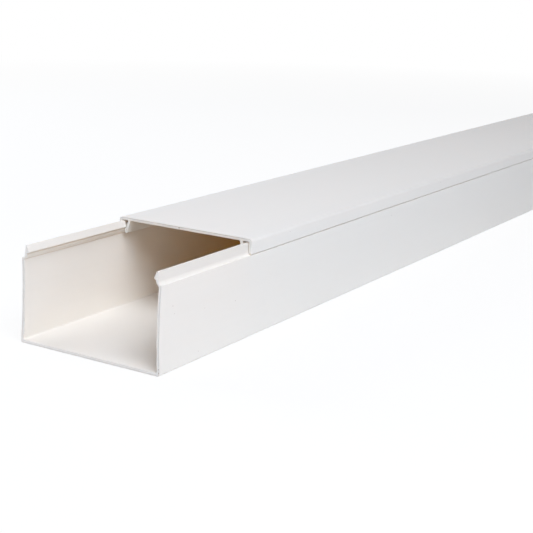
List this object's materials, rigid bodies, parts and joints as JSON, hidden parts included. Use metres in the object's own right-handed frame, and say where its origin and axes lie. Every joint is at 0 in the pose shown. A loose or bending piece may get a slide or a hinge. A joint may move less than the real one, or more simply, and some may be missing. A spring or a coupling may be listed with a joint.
{
  "type": "cable trunking with clip-on cover",
  "caption": "Straight U-shaped plastic cable channel with barbed lips, and a flat skirted cover that clips over them and slides along",
  "frame": {"origin": "centre of the base channel's flat underside, midway along its length", "axes": "+Y along the stock from the end left open by the cover, +Z from the underside towards the cover, +X across"},
  "size_m": [0.1, 1.087, 0.06],
  "materials": {
    "channel_pvc": "white rigid PVC, satin, with faint lines along the extrusion",
    "cover_pvc": "white rigid PVC, satin, with faint lines along the extrusion"
  },
  "bodies": {
    "channel": {"base_channel": "channel_pvc"},
    "cover": {"clip_on_cover": "cover_pvc"}
  },
  "joints": [
    {"name": "cover_slide", "type": "slide", "parent": "channel", "child": "cover", "axis": [0, 1, 0], "range_m": [-0.087, 0.413]}
  ]
}
